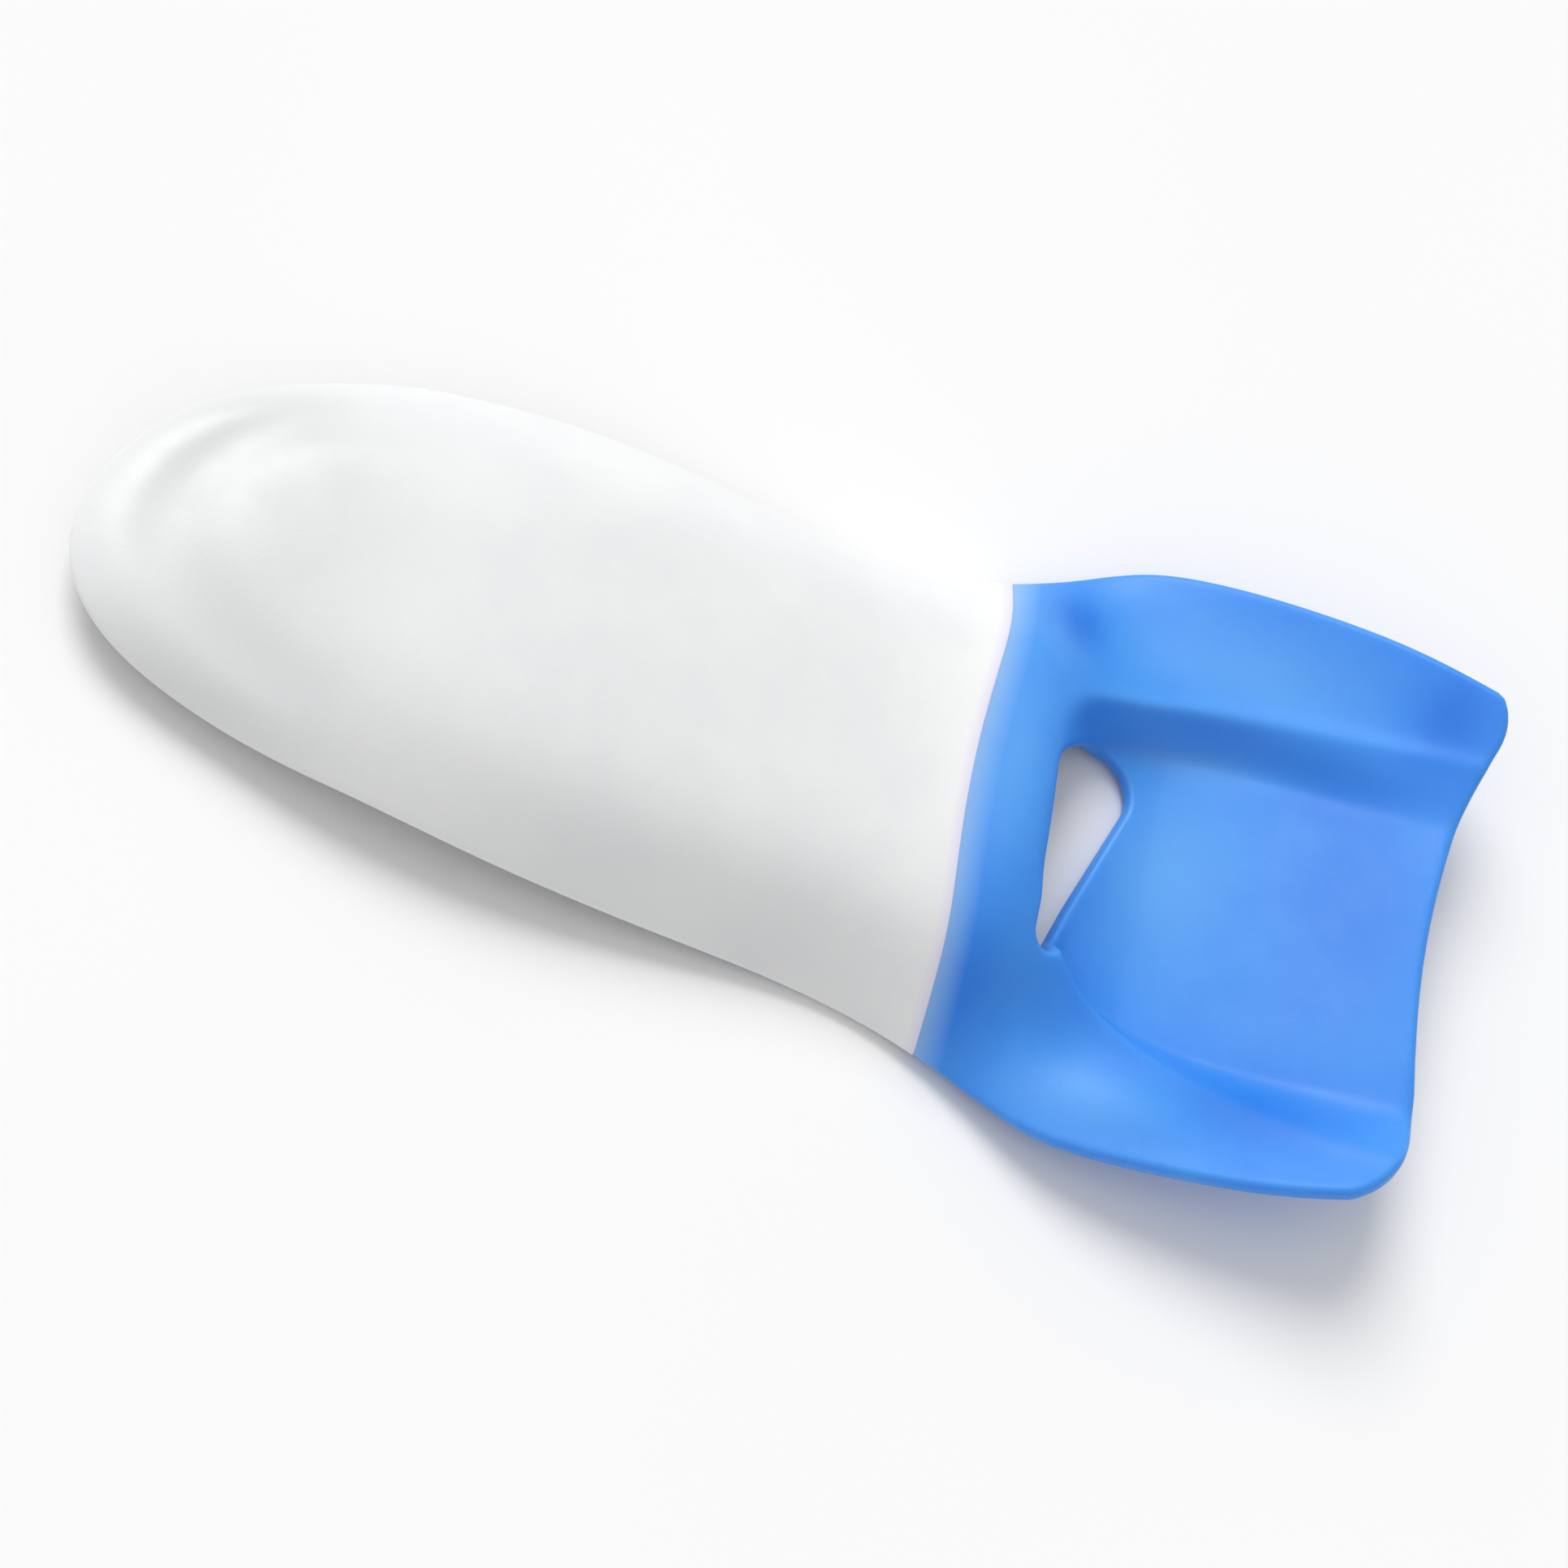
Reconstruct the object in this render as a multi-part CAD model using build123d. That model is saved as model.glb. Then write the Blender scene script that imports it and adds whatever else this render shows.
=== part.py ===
from build123d import *

import math
import os
from dataclasses import dataclass
from functools import lru_cache

# A dressing aid for socks: a long rounded tongue that the sock is gathered on, and a moulded
# handle with a finger recess and a slot. It lies hollow side down, like an upturned shoehorn.
# Lengths are in millimetres. While the pieces are made, X = 0 is the seam between tongue and
# handle, with the toe towards -X. At the end both pieces move together, so that the origin is
# under the middle of the object, on the surface that it lies on.

# Overall sizes
tongue_length = 195.5
handle_length = 114.0
tongue_half_width = 53.0
seam_half_width = 55.5
wing_half_width = 70.0
arch_rise = 4.0

# Walls
tongue_wall = 2.8
handle_wall = 4.0

# Toe: a rounded end, swept a little to one side, with a shallow dish inside its lip
toe_length = 66.0
toe_sweep = 10.0
toe_dish_depth = 1.6
toe_dish_place = 0.72
toe_dish_spread = 0.14
toe_roll = 2.5
toe_roll_start = 0.82
toe_limit = 1.05

# Seam and the tang that the handle is moulded around
seam_bow = 8.0
tang_length = 14.0
tang_thickness = 1.6
tang_skin = 1.2
tang_root = 5.0
tang_share = 0.80
window_count = 5
window_length = 6.0
window_width = 11.0
window_pitch = 17.0
window_start = 4.0

# Finger recess behind the bar: it fans out from narrow to wide on its far and near sides
recess_depth = 11.0
recess_start = 17.0
recess_full = 37.0
recess_floor_end = 52.0
recess_end_share = 0.35
recess_fan_start = 14.0
recess_fan_run = 28.0
recess_far_narrow = 22.0
recess_far_wide = 43.5
recess_near_narrow = 12.0
recess_near_wide = 54.0
recess_wall_width = 9.0
recess_wall_growth = 6.0
recess_growth_start = 50.0
recess_under_spread = 9.0

# Finger slot: three rounded corners joined by straight sides, wide at one end
slot_front = 20.0
slot_back = 45.5
slot_lean = 3.4
slot_bar_radius = 7.5
slot_bar_place = 8.5
slot_back_radius = 9.0
slot_back_place = 15.5
slot_narrow_radius = 3.6
slot_narrow_place = -27.5

# Handle end
end_scallop = 10.0
end_skew = 0.5
far_corner_radius = 13.0
near_corner_radius = 28.0

# Underside lands that the object lies on
rest_trim = 0.7
rest_samples = 30

# How finely the curved walls are drawn, and room left on the cutting blocks
section_columns = 30
tongue_sections = 18
handle_sections = 22
tang_sections = 4
toe_steps = 16
toe_spare = 5.0
toe_overlap = 0.4
seam_spare = 3.0
end_inset = 0.5
end_spread = 3.0
end_lead = 45.0
block_margin = 20.0
block_height = 200.0

# Shape of a cross-section: how far out each line runs, as a share of the half-width
line_places = (0.0, 0.28, 0.52, 0.70, 0.87, 1.0)
inner_share = 0.06
flank_share = 0.30
side_share = 0.50


@dataclass(frozen=True)
class Station:
    """One cross-section: its place along the object, half-width, and three heights."""

    along: float
    half_width: float
    crown: float
    ridge: float
    edge: float

    def heights(self):
        """Heights of the six lines, from the middle out to the edge."""
        fall = self.crown - self.ridge
        inner = self.crown - inner_share * fall
        flank = self.crown - flank_share * fall
        side = self.ridge + side_share * (self.edge - self.ridge)
        return (self.crown, inner, flank, self.ridge, side, self.edge)


toe_half_width = tongue_half_width - 10.0

stations = (
    Station(-1.10 * tongue_length, toe_half_width, -18.0, -22.0, -28.0),
    Station(-0.97 * tongue_length, toe_half_width, -9.0, -13.5, -24.0),
    Station(-0.84 * tongue_length, toe_half_width, arch_rise - 6.5, -7.0, -18.5),
    Station(-0.66 * tongue_length, tongue_half_width - 5.0, arch_rise, -0.5, -12.0),
    Station(-0.49 * tongue_length, tongue_half_width - 0.5, arch_rise + 1.5, 1.0, -12.5),
    Station(-0.31 * tongue_length, tongue_half_width, arch_rise - 1.0, -1.5, -17.0),
    Station(-0.15 * tongue_length, tongue_half_width - 1.0, arch_rise - 3.0, -4.0, -21.5),
    Station(-0.05 * tongue_length, seam_half_width - 2.0, arch_rise - 2.5, -4.0, -23.0),
    Station(0.03 * handle_length, seam_half_width + 1.0, arch_rise, -2.0, -22.0),
    Station(0.12 * handle_length, wing_half_width - 10.0, arch_rise + 1.5, -3.5, -20.5),
    Station(0.21 * handle_length, wing_half_width - 6.0, arch_rise - 2.0, -10.5, -18.0),
    Station(0.32 * handle_length, wing_half_width - 1.0, -6.5, -13.5, -13.0),
    Station(0.44 * handle_length, wing_half_width, -9.0, -10.5, -8.5),
    Station(0.58 * handle_length, wing_half_width - 0.5, -8.0, -8.5, -4.0),
    Station(0.74 * handle_length, wing_half_width - 2.0, -4.5, -6.0, 0.5),
    Station(0.88 * handle_length, wing_half_width - 5.0, 0.0, -2.5, 5.0),
    Station(1.03 * handle_length, wing_half_width - 10.0, 3.5, 2.0, 9.0),
    Station(1.15 * handle_length, wing_half_width - 14.0, 6.0, 4.5, 11.5),
)


def spline_value(controls, place):
    """Height of a smooth cubic curve that is pulled towards its control values."""
    count = len(controls)
    step = min(max(int(math.floor(place)), 0), count - 2)
    share = place - step
    first = 2 * controls[0] - controls[1]
    last = 2 * controls[-1] - controls[-2]
    padded = (first, *controls, last)
    weights = (
        (1 - share) ** 3 / 6,
        (3 * share**3 - 6 * share**2 + 4) / 6,
        (-3 * share**3 + 3 * share**2 + 3 * share + 1) / 6,
        share**3 / 6,
    )
    return sum(weight * padded[step + i] for i, weight in enumerate(weights))


def spline_place(controls, value):
    """Place along rising control values where the smooth curve reaches a value."""
    low = 0.0
    high = len(controls) - 1.0
    for _ in range(40):
        middle = (low + high) / 2
        if spline_value(controls, middle) < value:
            low = middle
        else:
            high = middle
    return (low + high) / 2


def ease(start, end, value):
    """Rise from 0 to 1 between start and end, level at both."""
    share = min(max((value - start) / (end - start), 0.0), 1.0)
    return share * share * (3 - 2 * share)


station_places = [station.along for station in stations]
station_widths = [station.half_width for station in stations]
station_heights = [station.heights() for station in stations]
across_places = [-place for place in line_places[:0:-1]] + list(line_places)


@lru_cache(maxsize=None)
def lines_at(along):
    """Half-width at a place along the object, and the heights that shape its arch there."""
    place = spline_place(station_places, along)
    lines = [spline_value([h[i] for h in station_heights], place) for i in range(6)]
    return spline_value(station_widths, place), tuple(lines[:0:-1] + lines)


def half_width_at(along):
    """Half-width of the object at a place along it."""
    return lines_at(along)[0]


def toe_share(along):
    """How far into the toe a place is: 0 where the toe begins, 1 at its tip."""
    return max((toe_length - tongue_length - along) / toe_length, 0.0)


def shell_height(along, across):
    """Height of the plain arched shell, before the finger recess is sunk."""
    half_width, controls = lines_at(along)
    share = min(abs(across) / half_width, 1.0)
    height = spline_value(controls, spline_place(across_places, share))
    inward = toe_share(along)
    outward = math.hypot(inward, (across + toe_sweep * inward**2) / half_width)
    outward = min(outward, toe_limit)
    dish = math.exp(-(((outward - toe_dish_place) / toe_dish_spread) ** 2))
    roll = max((outward - toe_roll_start) / (1 - toe_roll_start), 0.0) ** 2
    height -= toe_dish_depth * dish * ease(-0.1, 0.5, inward)
    height -= toe_roll * roll * ease(-0.1, 0.4, inward)
    return height


def recess_at(along, across, spread):
    """Depth of the finger recess at a point, with its walls spread outwards."""
    sinking = ease(recess_start, recess_full, along)
    rise = (along - recess_floor_end) / (handle_length - recess_floor_end)
    floor = 1 - (1 - recess_end_share) * min(max(rise, 0.0), 1.0)
    fan = math.exp(-max(along - recess_fan_start, 0.0) / recess_fan_run)
    if across > 0:
        brow = recess_far_wide - (recess_far_wide - recess_far_narrow) * fan
    else:
        brow = recess_near_wide - (recess_near_wide - recess_near_narrow) * fan
    width = recess_wall_width + recess_wall_growth * ease(recess_growth_start, handle_length, along)
    wall = 1 - ease(brow - width, brow + spread, abs(across))
    return recess_depth * sinking * floor * wall


def outer_point(along, across):
    """A point on the outer face."""
    return Vector(along, across, shell_height(along, across) - recess_at(along, across, 0.0))


def inner_point(along, across, depth):
    """The point of an inner face that lies a wall's thickness under the outer face."""
    reach = 0.5
    height = shell_height(along, across)
    rise_along = (shell_height(along + reach, across) - height) / reach
    side = -reach if across > 0 else reach
    rise_across = (shell_height(along, across + side) - height) / side
    normal = Vector(-rise_along, -rise_across, 1).normalized()
    sunk = Vector(0, 0, recess_at(along, across, recess_under_spread))
    return Vector(along, across, height) - normal * depth - sunk


def wall_section(along, share, top_depth, bottom_depth):
    """Closed outline of a curved wall, standing across the object."""
    reach = share * half_width_at(along)
    spread = [reach * (2 * column / section_columns - 1) for column in range(section_columns + 1)]
    if top_depth > 0:
        top = [inner_point(along, across, top_depth) for across in spread]
    else:
        top = [outer_point(along, across) for across in spread]
    bottom = [inner_point(along, across, bottom_depth) for across in reversed(spread)]
    top = [Vector(along, point.Y, point.Z) for point in top]
    bottom = [Vector(along, point.Y, point.Z) for point in bottom]
    upper_curve = Edge.make_spline(top)
    far_rim = Edge.make_line(top[-1], bottom[0])
    lower_curve = Edge.make_spline(bottom)
    near_rim = Edge.make_line(bottom[-1], top[0])
    return Wire([upper_curve, far_rim, lower_curve, near_rim])


def wall_between(start, end, count, share, top_depth, bottom_depth):
    """Smooth curved wall lofted through sections from start to end."""
    step = (end - start) / count
    sections = [
        wall_section(start + step * i, share, top_depth, bottom_depth) for i in range(count + 1)
    ]
    return Solid.make_loft(sections)


def upright(outline):
    """Tall block that stands on a closed outline drawn in plan."""
    face = Face(outline)
    return extrude(Pos(0, 0, -block_height / 2) * face, block_height, dir=(0, 0, 1))


def tongue_side_block():
    """Everything on the toe side of the bowed seam."""
    reach = seam_half_width + block_margin
    bow = seam_bow * (reach / seam_half_width) ** 2
    back = -tongue_length - block_margin
    seam = Edge.make_three_point_arc((bow, -reach), (0, 0), (bow, reach))
    far = Edge.make_line((bow, reach), (back, reach))
    toe = Edge.make_line((back, reach), (back, -reach))
    near = Edge.make_line((back, -reach), (bow, -reach))
    return upright(Wire([seam, far, toe, near]))


def toe_block():
    """Everything inside the rounded outline of the toe."""
    toe_start = toe_length - tongue_length
    half_width = half_width_at(toe_start) + toe_overlap
    points = []
    for step in range(toe_steps + 1):
        angle = math.pi * (step / toe_steps - 0.5)
        inward = math.cos(angle)
        narrowed = half_width_at(toe_start - toe_length * inward) + toe_overlap
        across = narrowed * math.sin(angle) - toe_sweep * inward**2
        points.append((toe_start - toe_length * inward, across))
    reach = half_width + block_margin
    outline = Edge.make_spline(points)
    far = Polyline(points[-1], (toe_start, reach), (block_margin, reach), (block_margin, 0))
    near = Polyline((block_margin, 0), (block_margin, -reach), (toe_start, -reach), points[0])
    return upright(Wire([outline, *far.edges(), *near.edges()]))


def tang():
    """Thin root of the tongue that runs on inside the handle, with lock windows."""
    root = wall_between(
        -tang_root, tang_length, tang_sections, tang_share, tang_skin, tang_skin + tang_thickness
    )
    windows = []
    for index in range(window_count):
        across = (index - (window_count - 1) / 2) * window_pitch
        middle = window_start + window_length / 2
        windows.append(Pos(middle, across, 0) * Box(window_length, window_width, block_height))
    return root - windows


def tongue():
    """White tongue: arched sheet with a rounded toe, a side rim and the tang."""
    start = -tongue_length - toe_spare
    end = seam_bow + seam_spare
    sheet = wall_between(start, end, tongue_sections, 1.0, 0.0, tongue_wall)
    return (sheet & tongue_side_block() & toe_block()) + tang()


def block_round(large, large_radius, small, small_radius):
    """Upright block round two circles in plan, joined by their straight outer tangents."""
    span = large - small
    lean = math.degrees(math.atan2(span.Y, span.X))
    opening = math.degrees(math.asin((large_radius - small_radius) / span.length))
    left = math.radians(lean + 90 + opening)
    right = math.radians(lean - 90 - opening)
    back = math.radians(lean + 180)
    front = math.radians(lean)
    large_left = large + Vector(math.cos(left), math.sin(left)) * large_radius
    large_tip = large + Vector(math.cos(front), math.sin(front)) * large_radius
    large_right = large + Vector(math.cos(right), math.sin(right)) * large_radius
    small_left = small + Vector(math.cos(left), math.sin(left)) * small_radius
    small_tip = small + Vector(math.cos(back), math.sin(back)) * small_radius
    small_right = small + Vector(math.cos(right), math.sin(right)) * small_radius
    outline = Wire(
        [
            Edge.make_line(small_left, large_left),
            Edge.make_three_point_arc(large_left, large_tip, large_right),
            Edge.make_line(large_right, small_right),
            Edge.make_three_point_arc(small_right, small_tip, small_left),
        ]
    )
    return upright(outline)


def finger_slot():
    """Upright cutter for the finger slot, wide at one end and narrow at the other."""
    bar_corner = Vector(slot_front + slot_bar_radius, slot_bar_place)
    back_corner = Vector(slot_back - slot_back_radius, slot_back_place)
    narrow_end = Vector(slot_front + slot_lean + slot_narrow_radius, slot_narrow_place)
    wide_end = block_round(back_corner, slot_back_radius, bar_corner, slot_bar_radius)
    bar_side = block_round(bar_corner, slot_bar_radius, narrow_end, slot_narrow_radius)
    back_side = block_round(back_corner, slot_back_radius, narrow_end, slot_narrow_radius)
    return wide_end + bar_side + back_side


def end_block():
    """Everything inside the hollowed end of the handle, with its rounded corners."""
    reach = half_width_at(handle_length) - end_inset
    wide = wing_half_width + end_spread
    lead = handle_length - end_lead
    far = (handle_length + end_scallop + end_skew, reach)
    near = (handle_length + end_scallop - end_skew, -reach)
    end = Edge.make_three_point_arc(far, (handle_length, 0), near)
    sides = Polyline(near, (lead, -wide), (-block_margin, -wide), (-block_margin, wide), (lead, wide), far)
    face = Face(Wire([end, *sides.edges()]))
    far_corner = face.vertices().sort_by_distance(far)[0]
    face = face.fillet_2d(far_corner_radius, [far_corner])
    near_corner = face.vertices().sort_by_distance(near)[0]
    face = face.fillet_2d(near_corner_radius, [near_corner])
    return upright(face.outer_wire())


def handle(inner_piece):
    """Blue handle: bar, finger recess, slot and two wings, moulded around the tang."""
    start = -seam_spare
    end = handle_length + end_scallop + end_skew + seam_spare
    sheet = wall_between(start, end, handle_sections, 1.0, 0.0, handle_wall)
    return (sheet & end_block()) - tongue_side_block() - finger_slot() - inner_piece


def lowest_of(start, end, depth):
    """Lowest height that an inner face reaches between two places along the object."""
    heights = []
    for row in range(rest_samples + 1):
        along = start + (end - start) * row / rest_samples
        for column in range(rest_samples + 1):
            across = half_width_at(along) * (2 * column / rest_samples - 1)
            heights.append(inner_point(along, across, depth).Z)
    return min(heights)


def rest_level():
    """Height of the surface that the object lies on, which both pieces reach."""
    tongue_low = lowest_of(toe_length - tongue_length, 0.0, tongue_wall)
    handle_low = lowest_of(seam_bow, handle_length, handle_wall)
    return max(tongue_low, handle_low) + rest_trim


def trimmed(piece, level):
    """A piece with flat lands cut at one level, so that the object lies steady."""
    span = 4 * (tongue_length + handle_length)
    return piece - Pos(0, 0, level - block_height / 2) * Box(span, span, block_height)


def main():
    """Make both pieces, stand them on the floor about the origin and write them."""
    os.makedirs("parts", exist_ok=True)
    white = tongue()
    blue = handle(white)
    level = rest_level()
    white = trimmed(white, level)
    blue = trimmed(blue, level)
    middle = Compound([white, blue]).bounding_box().center()
    move = Pos(-middle.X, -middle.Y, -level)
    print("seam at X", round(-middle.X, 3), "Y", round(-middle.Y, 3), "Z", round(-level, 3))
    for name, piece in (("tongue", white), ("handle", blue)):
        moved = move * piece
        moved.label = name
        export_step(moved, f"parts/{name}.step")
        print(name, moved.is_valid, round(moved.volume), len(moved.solids()), moved.bounding_box())


main()
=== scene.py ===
"""Looks of a sock aid: a white arched tongue and the blue handle moulded onto it.

Both shells are drawn as smooth walls of even thickness with softened rims, in place of the plain
solids of the frame. The shells are drawn in millimetres about the seam: X = 0 at the middle of the
seam, the toe towards -X, +Y towards the wide end of the finger slot. They are then moved to where
the frame has them and turned into metres.
"""

import logging
import math
from dataclasses import dataclass, field
from enum import Enum
from typing import Callable

import bpy
import numpy as np
from mathutils import Matrix, Vector

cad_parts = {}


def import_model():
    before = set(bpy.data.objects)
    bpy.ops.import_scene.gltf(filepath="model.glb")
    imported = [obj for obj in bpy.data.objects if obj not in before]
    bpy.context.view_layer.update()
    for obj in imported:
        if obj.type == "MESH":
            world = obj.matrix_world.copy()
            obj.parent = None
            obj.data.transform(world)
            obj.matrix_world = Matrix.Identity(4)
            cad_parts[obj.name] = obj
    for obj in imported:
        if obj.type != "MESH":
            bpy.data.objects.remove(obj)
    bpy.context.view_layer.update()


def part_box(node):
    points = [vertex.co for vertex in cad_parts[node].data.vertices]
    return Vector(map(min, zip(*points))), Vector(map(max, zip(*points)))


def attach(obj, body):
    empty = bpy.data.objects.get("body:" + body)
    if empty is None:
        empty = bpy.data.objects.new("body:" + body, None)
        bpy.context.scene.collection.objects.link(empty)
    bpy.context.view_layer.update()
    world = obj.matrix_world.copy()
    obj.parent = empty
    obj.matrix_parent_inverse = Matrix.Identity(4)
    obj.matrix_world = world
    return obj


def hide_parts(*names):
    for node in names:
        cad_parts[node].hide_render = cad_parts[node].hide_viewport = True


log = logging.getLogger("sock_aid")

MM = 0.001
SHARP_ANGLE = math.radians(55)

# How finely curves are read, how often a net is settled, and how close counts as on a line
PLACE_STEPS = 6001
CUT_ROUNDS = 6
NET_ROUNDS = 8
ON_OUTLINE = 1e-3
ON_SEAM = 0.01
ON_RIM = 0.05

SEAM_GAP = "seam_gap"
# Point attribute that carries the strength of the painted shade and painted light
PAINTED_SHADING_STRENGTH = "painted_shading_strength"


class Body(Enum):
    """Bodies that a piece can ride on."""

    ROOT = "root"


class Slot(Enum):
    """Names of material slots for the two pieces; this script gives no piece a slot."""

    TONGUE = "tongue_plastic"
    HANDLE = "handle_plastic"


# Curves shared by both shells
# ----------------------------


def ease(start: float, end: float, value: np.ndarray) -> np.ndarray:
    """Rise from 0 to 1 between two values, level at both.

    Args:
        start: Value where the rise begins.
        end: Value where the rise ends.
        value: Where to read it.

    Returns:
        The share of the rise at each value.
    """
    share = np.clip((value - start) / (end - start), 0.0, 1.0)
    return share * share * (3 - 2 * share)


def spline_weights(share: np.ndarray) -> tuple[np.ndarray, ...]:
    """Weights of the four control values that shape one span of a smooth cubic curve."""
    return (
        (1 - share) ** 3 / 6,
        (3 * share**3 - 6 * share**2 + 4) / 6,
        (-3 * share**3 + 3 * share**2 + 3 * share + 1) / 6,
        share**3 / 6,
    )


def spline_rows(controls: np.ndarray, place: np.ndarray) -> np.ndarray:
    """Read a smooth cubic curve through rows of control values.

    Args:
        controls: Control values, one row for each control.
        place: Places along the curve, counted in controls.

    Returns:
        One row of values for each place.
    """
    count = len(controls)
    step = np.clip(np.floor(place).astype(int), 0, count - 2)
    share = (place - step)[:, None]
    padded = np.vstack([2 * controls[:1] - controls[1:2], controls, 2 * controls[-1:] - controls[-2:-1]])
    return sum(weight * padded[step + i] for i, weight in enumerate(spline_weights(share)))


def spline_across(controls: np.ndarray, place: np.ndarray) -> np.ndarray:
    """Read, for each point, a smooth curve through that point's own row of controls.

    Args:
        controls: One row of control values for each point.
        place: Where each point lies along its curve, counted in controls.

    Returns:
        One value for each point.
    """
    count = controls.shape[1]
    step = np.clip(np.floor(place).astype(int), 0, count - 2)
    share = place - step
    first = 2 * controls[:, :1] - controls[:, 1:2]
    last = 2 * controls[:, -1:] - controls[:, -2:-1]
    padded = np.hstack([first, controls, last])
    rows = np.arange(len(place))
    return sum(weight * padded[rows, step + i] for i, weight in enumerate(spline_weights(share)))


def spline_places(controls: np.ndarray, value: np.ndarray) -> np.ndarray:
    """Place along rising controls where their smooth curve reaches each value."""
    fine = np.linspace(0.0, len(controls) - 1.0, PLACE_STEPS)
    return np.interp(value, spline_rows(controls[:, None], fine)[:, 0], fine)


def slot_distance(
    point: np.ndarray, wide: np.ndarray, narrow: np.ndarray, wide_radius: float, narrow_radius: float
) -> np.ndarray:
    """Distance outside a slot with two round ends of different size, negative inside it.

    Args:
        point: Points in plan, one in each row.
        wide: Centre of the wide end.
        narrow: Centre of the narrow end.
        wide_radius: Radius of the wide end.
        narrow_radius: Radius of the narrow end.

    Returns:
        One distance for each point.
    """
    span = narrow - wide
    length = np.linalg.norm(span)
    forward = span / length
    offset = point - wide
    along = offset @ forward
    aside = np.abs(offset[:, 0] * forward[1] - offset[:, 1] * forward[0])
    shrink = narrow_radius - wide_radius
    lean = shrink / math.sqrt(length**2 - shrink**2)
    share = np.clip((along + aside * lean) / length, 0.0, 1.0)
    return np.hypot(along - share * length, aside) - (wide_radius + share * shrink)


def rounded_corner(first: np.ndarray, second: np.ndarray, radius: float) -> np.ndarray:
    """Depth inside two edges at once, with their corner rounded.

    Args:
        first: Depth inside the first edge.
        second: Depth inside the second edge.
        radius: Radius of the corner.

    Returns:
        Depth inside the rounded outline.
    """
    short = np.hypot(np.maximum(radius - first, 0), np.maximum(radius - second, 0))
    return np.maximum(np.minimum(first, second), radius) - short


# The form that both shells share
# -------------------------------


@dataclass(frozen=True)
class Form:
    """The arched form of the whole aid, in millimetres about the seam."""

    tongue_length: float = 195.5
    handle_length: float = 114.0
    tongue_half_width: float = 53.0
    seam_half_width: float = 55.5
    wing_half_width: float = 70.0
    toe_half_width: float = 43.0
    arch_rise: float = 4.0
    toe_length: float = 66.0
    toe_sweep: float = 10.0
    toe_dish_depth: float = 1.6
    toe_dish_place: float = 0.72
    toe_dish_spread: float = 0.14
    toe_roll: float = 2.5
    toe_roll_start: float = 0.82
    toe_limit: float = 1.05
    toe_blend_start: float = -0.1
    toe_dish_full: float = 0.5
    toe_roll_full: float = 0.4
    recess_depth: float = 11.0
    recess_start: float = 17.0
    recess_full: float = 37.0
    recess_floor_end: float = 52.0
    recess_end_share: float = 0.35
    recess_fan_start: float = 14.0
    recess_fan_run: float = 28.0
    recess_far_narrow: float = 22.0
    recess_far_wide: float = 43.5
    recess_near_narrow: float = 12.0
    recess_near_wide: float = 54.0
    recess_wall_width: float = 9.0
    recess_wall_growth: float = 6.0
    recess_growth_start: float = 50.0
    recess_under_spread: float = 9.0
    brow_bead: float = 0.55
    brow_bead_width: float = 2.4
    brow_bead_place: float = 0.5
    near_bead_share: float = 0.6
    near_crest: float = 2.2
    near_crest_along: float = 50.0
    near_crest_reach: float = 17.0
    near_crest_place: float = 0.80
    near_crest_spread: float = 0.12
    seam_bow: float = 8.0
    line_places: tuple[float, ...] = (0.0, 0.28, 0.52, 0.70, 0.87, 1.0)
    inner_share: float = 0.06
    flank_share: float = 0.30
    side_share: float = 0.50

    def stations(self) -> np.ndarray:
        """Cross-sections: place along, half-width, and heights of crown, ridge and edge."""
        tongue, handle, rise = self.tongue_length, self.handle_length, self.arch_rise
        white, seam, wing, toe = (
            self.tongue_half_width,
            self.seam_half_width,
            self.wing_half_width,
            self.toe_half_width,
        )
        return np.array(
            [
                (-1.10 * tongue, toe, -18.0, -22.0, -28.0),
                (-0.97 * tongue, toe, -9.0, -13.5, -24.0),
                (-0.84 * tongue, toe, rise - 6.5, -7.0, -18.5),
                (-0.66 * tongue, white - 5.0, rise, -0.5, -12.0),
                (-0.49 * tongue, white - 0.5, rise + 1.5, 1.0, -12.5),
                (-0.31 * tongue, white, rise - 1.0, -1.5, -17.0),
                (-0.15 * tongue, white - 1.0, rise - 3.0, -4.0, -21.5),
                (-0.05 * tongue, seam - 2.0, rise - 2.5, -4.0, -23.0),
                (0.03 * handle, seam + 1.0, rise, -2.0, -22.0),
                (0.12 * handle, wing - 10.0, rise + 1.5, -3.5, -20.5),
                (0.21 * handle, wing - 6.0, rise - 2.0, -10.5, -18.0),
                (0.32 * handle, wing - 1.0, -6.5, -13.5, -13.0),
                (0.44 * handle, wing, -9.0, -10.5, -8.5),
                (0.58 * handle, wing - 0.5, -8.0, -8.5, -4.0),
                (0.74 * handle, wing - 2.0, -4.5, -6.0, 0.5),
                (0.88 * handle, wing - 5.0, 0.0, -2.5, 5.0),
                (1.03 * handle, wing - 10.0, 3.5, 2.0, 9.0),
                (1.15 * handle, wing - 14.0, 6.0, 4.5, 11.5),
            ]
        )

    def sections(self, along: np.ndarray) -> tuple[np.ndarray, np.ndarray]:
        """Half-width and the heights that shape the arch at places along the aid.

        Args:
            along: Places along the aid.

        Returns:
            The half-width at each place, and a row of heights from rim to rim.
        """
        rows = self.stations()
        crown, ridge, edge = rows[:, 2], rows[:, 3], rows[:, 4]
        fall = crown - ridge
        lines = np.stack(
            [
                crown,
                crown - self.inner_share * fall,
                crown - self.flank_share * fall,
                ridge,
                ridge + self.side_share * (edge - ridge),
                edge,
            ],
            axis=1,
        )
        place = spline_places(rows[:, 0], along)
        read = spline_rows(np.hstack([rows[:, 1:2], lines]), place)
        half = read[:, 1:]
        return read[:, 0], np.hstack([half[:, :0:-1], half])

    def half_width(self, along: np.ndarray) -> np.ndarray:
        """Half-width of the aid at places along it."""
        return self.sections(along)[0]

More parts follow.
